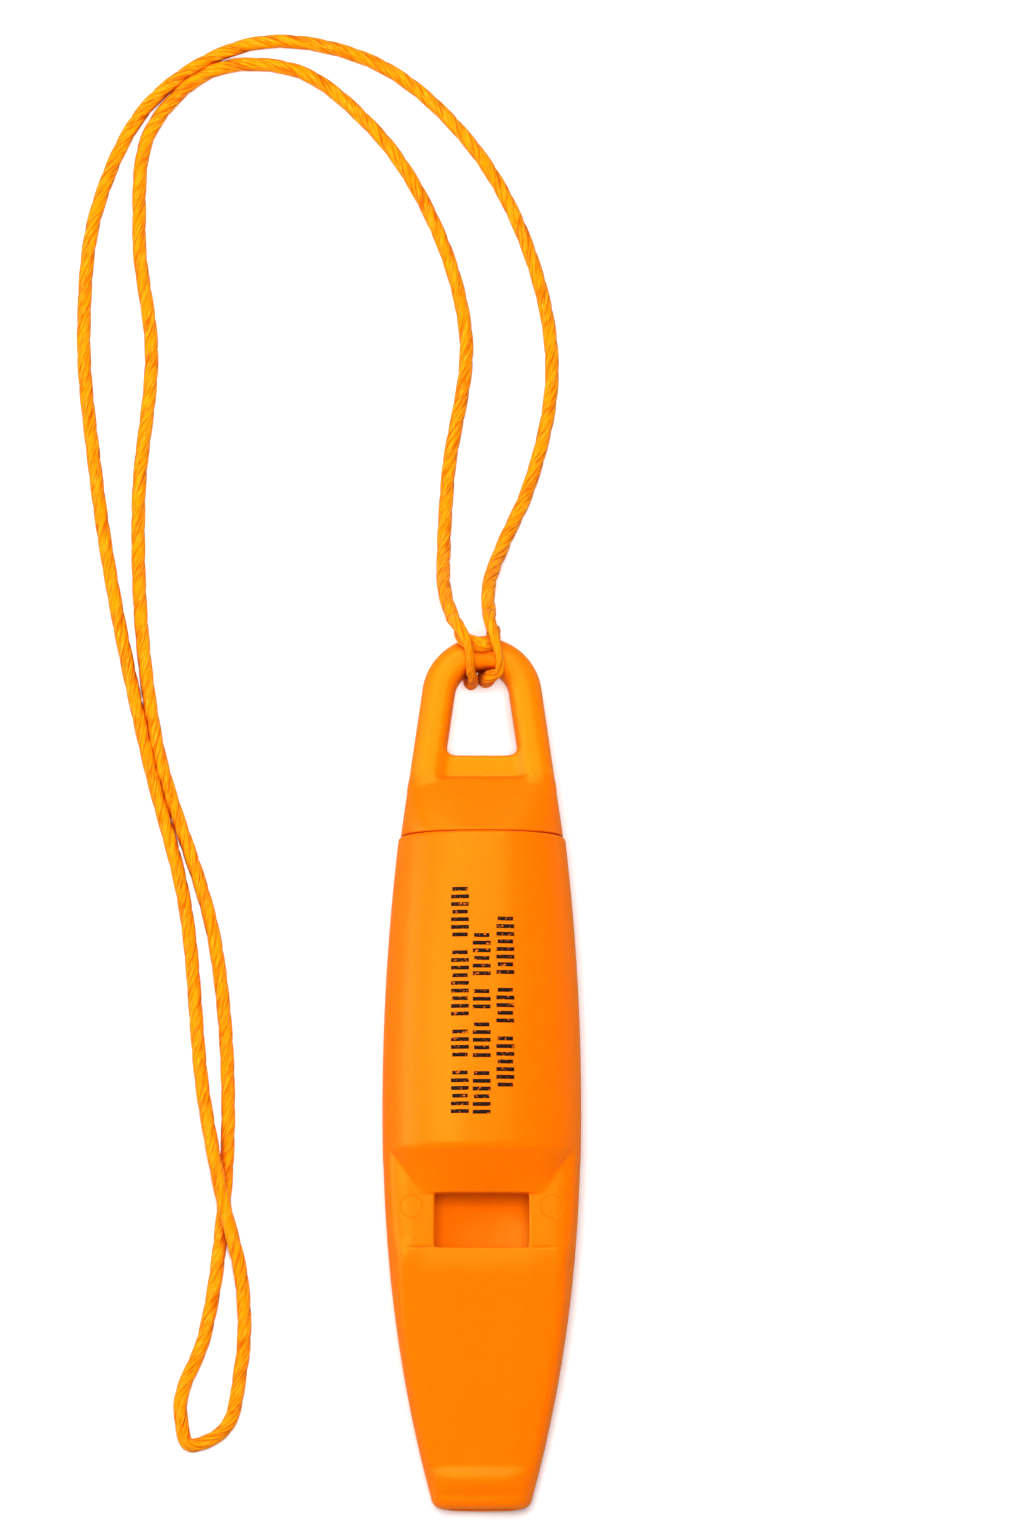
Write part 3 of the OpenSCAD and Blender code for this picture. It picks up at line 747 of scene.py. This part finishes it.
def moulded_plastic(form):
    """Orange polypropylene from a fine-eroded mould: satin, with a grain that is coarser low down inside,
    and, on the flats, the faint rings of two ejector pins. The eye gets a paler tone, a painted glow for the
    light that gets through its thin plastic, and narrow corners get red painted shade for light that only
    other orange faces pass on."""
    finishes = bpy.context.scene.whistle_finishes
    material, tree = new_material("moulded_polypropylene")
    where = add_node(tree, "ShaderNodeTexCoord").outputs["Object"]
    place = add_node(tree, "ShaderNodeSeparateXYZ", links={"Vector": where})
    # The real grain is nearer 0.1 mm. It is drawn coarser, so that it shows
    grain_mm, flow_mm = 0.22, 9.0
    grain = add_node(
        tree, "ShaderNodeTexNoise", {"Scale": 1 / (grain_mm * MM), "Detail": 2.0}, {"Vector": where}
    )
    flow = add_node(
        tree, "ShaderNodeTexNoise", {"Scale": 1 / (flow_mm * MM), "Detail": 1.0}, {"Vector": where}
    )
    gloss = add_node(
        tree,
        "ShaderNodeMapRange",
        {"From Min": 0.3, "From Max": 0.7, "To Min": 0.28, "To Max": 0.34},
        {"Value": flow},
    )
    coarser = add_node(
        tree,
        "ShaderNodeMapRange",
        {"From Min": 3.0 * MM, "From Max": 6.0 * MM, "To Min": 4.0, "To Max": 1.0},
        {"Value": place.outputs["Z"]},
    )
    height = add_node(tree, "ShaderNodeMath", {"operation": "MULTIPLY"}, {0: grain, 1: coarser})
    # Rings of the pins: place to the sides and past the sill, radius, width and depth of the line
    pin_x, pin_y, pin_r, pin_line, pin_depth = 7.4, 4.3, 1.2, 0.09, 8.0
    for sign in (-1, 1):
        middle = Vector((sign * pin_x, form.sill + pin_y, form.cheek_h)) * MM
        far = add_node(tree, "ShaderNodeVectorMath", {"operation": "DISTANCE", 1: middle}, {0: where})
        off = add_node(
            tree, "ShaderNodeMath", {"operation": "SUBTRACT", 1: pin_r * MM}, {0: far.outputs["Value"]}
        )
        near = add_node(tree, "ShaderNodeMath", {"operation": "ABSOLUTE"}, {0: off})
        ring = add_node(
            tree,
            "ShaderNodeMapRange",
            {"From Min": 0.0, "From Max": pin_line * MM, "To Min": -pin_depth, "To Max": 0.0},
            {"Value": near},
        )
        height = add_node(tree, "ShaderNodeMath", {"operation": "ADD"}, {0: height, 1: ring})
    bump = add_node(tree, "ShaderNodeBump", {"Strength": 0.5, "Distance": 0.014 * MM}, {"Height": height})
    # Painted glow: the eye gets the paler tone, which stands in for light through its thin plastic
    eye = add_node(
        tree,
        "ShaderNodeMapRange",
        {"From Min": (form.feet - 0.2) * MM, "From Max": (form.feet + 0.5) * MM},
        {"Value": place.outputs["Y"]},
    )
    tone = add_node(
        tree,
        "ShaderNodeMix",
        {"data_type": "RGBA", AT_0: finishes.plastic, AT_1: finishes.thin},
        {"Factor": eye},
    )
    # Painted shade: the plastic turns red in its narrow corners
    tone = with_painted_nook_shade(tree, tone.outputs[MIXED], finishes.painted_nook_shade, reach_mm=0.9)
    shader = add_node(
        tree,
        "ShaderNodeBsdfPrincipled",
        {
            "IOR": 1.49,
            "Specular IOR Level": 0.8,
            "Specular Tint": finishes.gloss,
            "Subsurface Weight": 0.5,
            "Subsurface Radius": (1.0, 0.28, 0.04),
            "Subsurface Scale": 0.9 * MM,
        },
        {"Base Color": tone, "Roughness": gloss, "Normal": bump},
    )
    add_node(tree, "ShaderNodeOutputMaterial", links={"Surface": shader})
    return material


def twisted_fibre():
    """Spun polyester cord: yarns that run along each ply, with painted shade in the gaps between them, and
    single bright fibres on top. Both are streaks of noise drawn out along the twist. Where strands lie close,
    deep red painted shade darkens it."""
    finishes = bpy.context.scene.whistle_finishes
    material, tree = new_material("spun_polyester_cord")
    place = add_node(tree, "ShaderNodeAttribute", {"attribute_name": "fibre"}).outputs["Vector"]
    # Streaks for each 0.75 mm, the cord's radius, across and along: yarns of 0.23 mm and fibres of 0.1 mm
    yarn_scale, fibre_scale = (3.2, 3.2, 0.3), (7.5, 7.5, 0.8)
    drawn = add_node(tree, "ShaderNodeMapping", {"Scale": yarn_scale}, {"Vector": place})
    yarns = add_node(tree, "ShaderNodeTexNoise", {"Scale": 1.0, "Detail": 3.0}, {"Vector": drawn})
    drawn = add_node(tree, "ShaderNodeMapping", {"Scale": fibre_scale}, {"Vector": place})
    fibres = add_node(tree, "ShaderNodeTexNoise", {"Scale": 1.0, "Detail": 2.0}, {"Vector": drawn})
    # Painted shade: the cord shade colour where the yarn noise is low, in the gaps between the yarns
    on_top = add_node(tree, "ShaderNodeMapRange", {"From Min": 0.38, "From Max": 0.54}, {"Value": yarns})
    tone = add_node(
        tree,
        "ShaderNodeMix",
        {"data_type": "RGBA", AT_0: finishes.cord_shade, AT_1: finishes.cord},
        {"Factor": on_top},
    )
    stray = add_node(tree, "ShaderNodeMapRange", {"From Min": 0.54, "From Max": 0.68}, {"Value": fibres})
    tone = add_node(
        tree,
        "ShaderNodeMix",
        {"data_type": "RGBA", AT_1: finishes.cord_bright},
        {"Factor": stray, AT_0: tone.outputs[MIXED]},
    )
    # Painted shade: the cord turns deep red where strands lie close
    tone = with_painted_nook_shade(tree, tone.outputs[MIXED], finishes.cord_nook_painted_shade, reach_mm=1.2)
    height = add_node(tree, "ShaderNodeMath", {"operation": "ADD"}, {0: yarns, 1: fibres})
    bump = add_node(tree, "ShaderNodeBump", {"Strength": 0.8, "Distance": 0.08 * MM}, {"Height": height})
    shader = add_node(
        tree,
        "ShaderNodeBsdfPrincipled",
        {
            "Roughness": 0.65,
            "IOR": 1.5,
            "Specular Tint": finishes.gloss,
            "Sheen Weight": 0.1,
            "Sheen Tint": finishes.gloss,
        },
        {"Base Color": tone, "Normal": bump},
    )
    add_node(tree, "ShaderNodeOutputMaterial", links={"Surface": shader})
    return material


def printing_ink():
    """Pad-printed black ink, matt, worn through in specks so that the plastic shows."""
    finishes = bpy.context.scene.whistle_finishes
    material, tree = new_material("pad_printed_ink")
    where = add_node(tree, "ShaderNodeTexCoord").outputs["Object"]
    speck_mm = 0.3
    specks = add_node(
        tree, "ShaderNodeTexNoise", {"Scale": 1 / (speck_mm * MM), "Detail": 2.0}, {"Vector": where}
    )
    worn = add_node(tree, "ShaderNodeMapRange", {"From Min": 0.6, "From Max": 0.72}, {"Value": specks})
    tone = add_node(
        tree,
        "ShaderNodeMix",
        {"data_type": "RGBA", AT_0: finishes.ink, AT_1: finishes.plastic},
        {"Factor": worn},
    )
    shader = add_node(
        tree,
        "ShaderNodeBsdfPrincipled",
        {"Roughness": 0.8, "Specular IOR Level": 0.2},
        {"Base Color": tone.outputs[MIXED]},
    )
    add_node(tree, "ShaderNodeOutputMaterial", links={"Surface": shader})
    return material


def dress(piece, material):
    """Give the piece its material."""
    piece.data.materials.append(material)


# Operators


class BuildCamera(bpy.types.Operator):
    """Set the camera: steep from the mouth side, over the whole whistle and its cord"""

    bl_idname = "whistle.build_camera"
    bl_label = "Camera"

    def execute(self, context):
        elevation = math.radians(81)
        middle = Vector((3.2 * MM, 33 * MM, 4 * MM))
        distance = 1.3
        tall = 164 * MM
        data = bpy.data.cameras.new("camera")
        data.sensor_fit = "VERTICAL"
        data.sensor_height = 24
        data.lens = data.sensor_height * distance / tall
        camera = bpy.data.objects.new("camera", data)
        away = Vector((0, -math.cos(elevation), math.sin(elevation)))
        camera.location = middle + distance * away
        camera.rotation_euler = (math.pi / 2 - elevation, 0, 0)
        context.scene.collection.objects.link(camera)
        context.scene.camera = camera
        return {"FINISHED"}


class BuildLanyard(bpy.types.Operator):
    """Lay the twisted cord along its loop and wind its hitch round the eye"""

    bl_idname = "whistle.build_lanyard"
    bl_label = "Lanyard"

    def execute(self, context):
        d = context.scene.lanyard_sizes.cord_d
        line, rings, at, end = loop_of_cord(context)
        fibre = twisted_fibre()
        hitch = cord_piece("cow_hitch", line[end:], rings[end:], at[end:], d / MM)
        dress(hitch, fibre)
        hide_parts("lanyard_hitch")
        cord = cord_piece("lanyard", line[: end + 1], rings[: end + 1], at[: end + 1], d / MM)
        dress(cord, fibre)
        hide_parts("lanyard_cord")
        return {"FINISHED"}


class BuildBody(bpy.types.Operator):
    """Build the skin of the body with its ramp, window, windway and bite lip"""

    bl_idname = "whistle.build_body"
    bl_label = "Body"

    def execute(self, context):
        form = Form(context.scene.moulding_sizes)
        # Grid lines are closer where the form turns sharply
        margin = 0.4
        edge = form.window_w / 2
        xs = graded([[0, 0.3], [edge - margin, 0.1], [edge + margin, 0.25], [form.body_w / 2 + margin, 1]])
        xs = np.concatenate([-xs[:0:-1], xs])
        ys = graded([
            [Y_MOUTH - 0.35, 0.14], [Y_MOUTH + 1.1, 0.22], [Y_MOUTH + 4.4, 0.42], [form.sill - 0.6, 0.08],
            [form.sill + 0.5, 0.3], [form.lip - 0.5, 0.1], [form.lip + 0.5, 0.16], [form.ring + 1, 0.5],
            [Y_SEAM - 1, 0.12], [Y_SEAM + 0.3, 1],
        ])
        zs = graded([
            [-0.3, 0.1], [0.4, 0.35], [form.cheek_h - 1.9, 0.16], [form.cheek_h + 0.6, 0.3],
            [form.body_depth + margin, 1],
        ])
        points, faces = surface_net(body_field(form), (xs, ys, zs))
        piece = as_object("body_moulding", points, faces)
        dress(piece, moulded_plastic(form))
        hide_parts("whistle_body")
        return {"FINISHED"}


class BuildCap(bpy.types.Operator):
    """Build the skin of the end cap with its shoulder, eye, web and plug"""

    bl_idname = "whistle.build_cap"
    bl_label = "End cap"

    def execute(self, context):
        form = Form(context.scene.moulding_sizes)
        margin, side_margin, step = 0.35, 0.4, 0.17
        half = form.cap_seam_w + side_margin
        xs = np.arange(-half, half + step, step)
        ys = graded([
            [CAP_LOW[1] - 0.3, 0.5], [Y_SEAM - 0.6, 0.12], [Y_SEAM + 0.8, 0.25], [form.feet - 0.6, 0.08],
            [form.feet + 0.6, 0.17], [Y_TOP + 0.4, 1],
        ])
        zs = np.arange(CAP_LOW[2] - margin, CAP_HIGH[2] + margin + step, step)
        points, faces = surface_net(cap_field(form), (xs, ys, zs))
        piece = as_object("end_cap_moulding", points, faces)
        plastic = bpy.data.materials.get("moulded_polypropylene") or moulded_plastic(form)
        dress(piece, plastic)
        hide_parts("end_cap")
        return {"FINISHED"}


class BuildPrint(bpy.types.Operator):
    """Print three rows of plain bars along the barrel"""

    bl_idname = "whistle.build_print"
    bl_label = "Print"

    def execute(self, context):
        form = Form(context.scene.moulding_sizes)
        # Each row: its place across, where it starts along the barrel, and the bars in each group
        rows = ((-2.3, 18.6, (7, 9, 4, 6)), (0.0, 13.6, (6, 3, 5, 6)), (2.5, 15.4, (8, 5, 7)))
        bar_w, bar_t, pitch, gap = 1.9, 0.42, 0.82, 1.1
        # Every third bar is shorter. The bars stand a little above the plastic and reach into it
        every, shorter = 3, 0.86
        above, into = 0.025, -0.06
        points, faces = [], []
        across, along = 9, 3
        for centre, start, groups in rows:
            y = start
            for count in groups:
                for n in range(count):
                    width = bar_w * (1 if n % every else shorter)
                    xs = centre + np.linspace(-width / 2, width / 2, across)
                    ys = y + np.linspace(-bar_t / 2, bar_t / 2, along)
                    gx, gy = np.meshgrid(xs, ys, indexing="ij")
                    top = form.oval_top(gx, gy, 0)
                    for lift in (above, into):
                        points.append(np.stack([gx, gy, top + lift], axis=-1).reshape(-1, 3))
                    faces.append(slab_faces(across, along) + (len(points) - 2) * across * along)
                    y -= pitch
                y -= gap
        piece = as_object("print_bars", np.concatenate(points), np.concatenate(faces))
        piece.data.materials.append(printing_ink())
        return {"FINISHED"}


class BuildStage(bpy.types.Operator):
    """Lay the white floor and hang the soft lamps"""

    bl_idname = "whistle.build_stage"
    bl_label = "Stage"

    def execute(self, context):
        scene = context.scene
        finishes = scene.whistle_finishes
        half = 3.0
        corners = [(-half, -half, 0), (half, -half, 0), (half, half, 0), (-half, half, 0)]
        mesh = bpy.data.meshes.new("floor")
        mesh.from_pydata(corners, [], [(0, 1, 2, 3)])
        floor = bpy.data.objects.new("floor", mesh)
        scene.collection.objects.link(floor)
        material, tree = new_material("white_paper_sweep")
        path = add_node(tree, "ShaderNodeLightPath")
        tone = add_node(
            tree,
            "ShaderNodeMix",
            {"data_type": "RGBA", AT_0: finishes.bounce, AT_1: finishes.floor},
            {"Factor": path.outputs["Is Camera Ray"]},
        )
        tone = add_node(
            tree,
            "ShaderNodeMix",
            {"data_type": "RGBA", AT_1: finishes.mirrored},
            {"Factor": path.outputs["Is Glossy Ray"], AT_0: tone.outputs[MIXED]},
        )
        shader = add_node(
            tree,
            "ShaderNodeBsdfPrincipled",
            {"Roughness": 0.9, "Specular IOR Level": 0.0},
            {"Base Color": tone.outputs[MIXED]},
        )
        add_node(tree, "ShaderNodeOutputMaterial", links={"Surface": shader})
        mesh.materials.append(material)
        world = bpy.data.worlds.new("studio")
        scene.world = world
        world.use_nodes = True
        tree = world.node_tree
        tree.nodes.clear()
        # The surroundings give a little light all round, and less in the highlights
        ray = add_node(tree, "ShaderNodeLightPath").outputs["Is Glossy Ray"]
        level = add_node(tree, "ShaderNodeMapRange", {"To Min": 0.12, "To Max": 0.04}, {"Value": ray})
        sky = add_node(tree, "ShaderNodeBackground", {"Color": (1, 1, 1, 1)}, {"Strength": level})
        add_node(tree, "ShaderNodeOutputWorld", links={"Surface": sky})
        aim = Vector((0, 0.02, 0))
        # Each lamp: place in metres, width and height in metres, power in watts, and whether it gives
        # highlights, light or both
        lamps = {
            "overhead": ((0.0, -0.05, 0.75), 0.2, 0.2, 5.6, "light"),
            "left_low": ((-0.5, 0.05, 0.22), 0.3, 0.3, 1.0, "both"),
            "back_near": ((-0.05, 0.22, 0.26), 0.3, 0.15, 0.5, "both"),
            "back_softbox": ((-0.02, 0.19, 0.5), 0.36, 0.33, 0.95, "highlights"),
            "left_strip": ((-0.28, 0.08, 0.5), 0.08, 0.3, 0.75, "highlights"),
        }
        for name, (place, wide, tall, power, gives) in lamps.items():
            data = bpy.data.lights.new(name, "AREA")
            data.shape = "RECTANGLE"
            data.size = wide
            data.size_y = tall
            data.energy = power
            lamp = bpy.data.objects.new(name, data)
            lamp.location = place
            lamp.rotation_euler = (aim - lamp.location).to_track_quat("-Z", "Y").to_euler()
            lamp.visible_diffuse = gives != "highlights"
            lamp.visible_glossy = gives != "light"
            scene.collection.objects.link(lamp)
        scene.view_settings.view_transform = "Standard"
        return {"FINISHED"}


OPERATORS = (BuildCamera, BuildLanyard, BuildBody, BuildCap, BuildPrint, BuildStage)


class WhistlePanel(bpy.types.Panel):
    """Sizes, finishes and steps of the whistle"""

    bl_idname = "VIEW3D_PT_whistle"
    bl_label = "Survival whistle"
    bl_space_type = "VIEW_3D"
    bl_region_type = "UI"
    bl_category = "Whistle"

    def draw(self, context):
        layout = self.layout
        for name in GROUPS:
            group = getattr(context.scene, name)
            box = layout.box()
            for key in type(group).__annotations__:
                box.prop(group, key)
        for operator in OPERATORS:
            layout.operator(operator.bl_idname)


CLASSES = (MouldingSizes, LanyardSizes, Finishes) + OPERATORS + (WhistlePanel,)
GROUPS = {"moulding_sizes": MouldingSizes, "lanyard_sizes": LanyardSizes, "whistle_finishes": Finishes}


def register():
    for item in CLASSES:
        bpy.utils.register_class(item)
    for name, group in GROUPS.items():
        setattr(bpy.types.Scene, name, bpy.props.PointerProperty(type=group))


def unregister():
    for name in GROUPS:
        delattr(bpy.types.Scene, name)
    for item in reversed(CLASSES):
        bpy.utils.unregister_class(item)


def main():
    register()
    for operator in OPERATORS:
        group, name = operator.bl_idname.split(".")
        getattr(getattr(bpy.ops, group), name)()


if __name__ == "__main__":
    main()
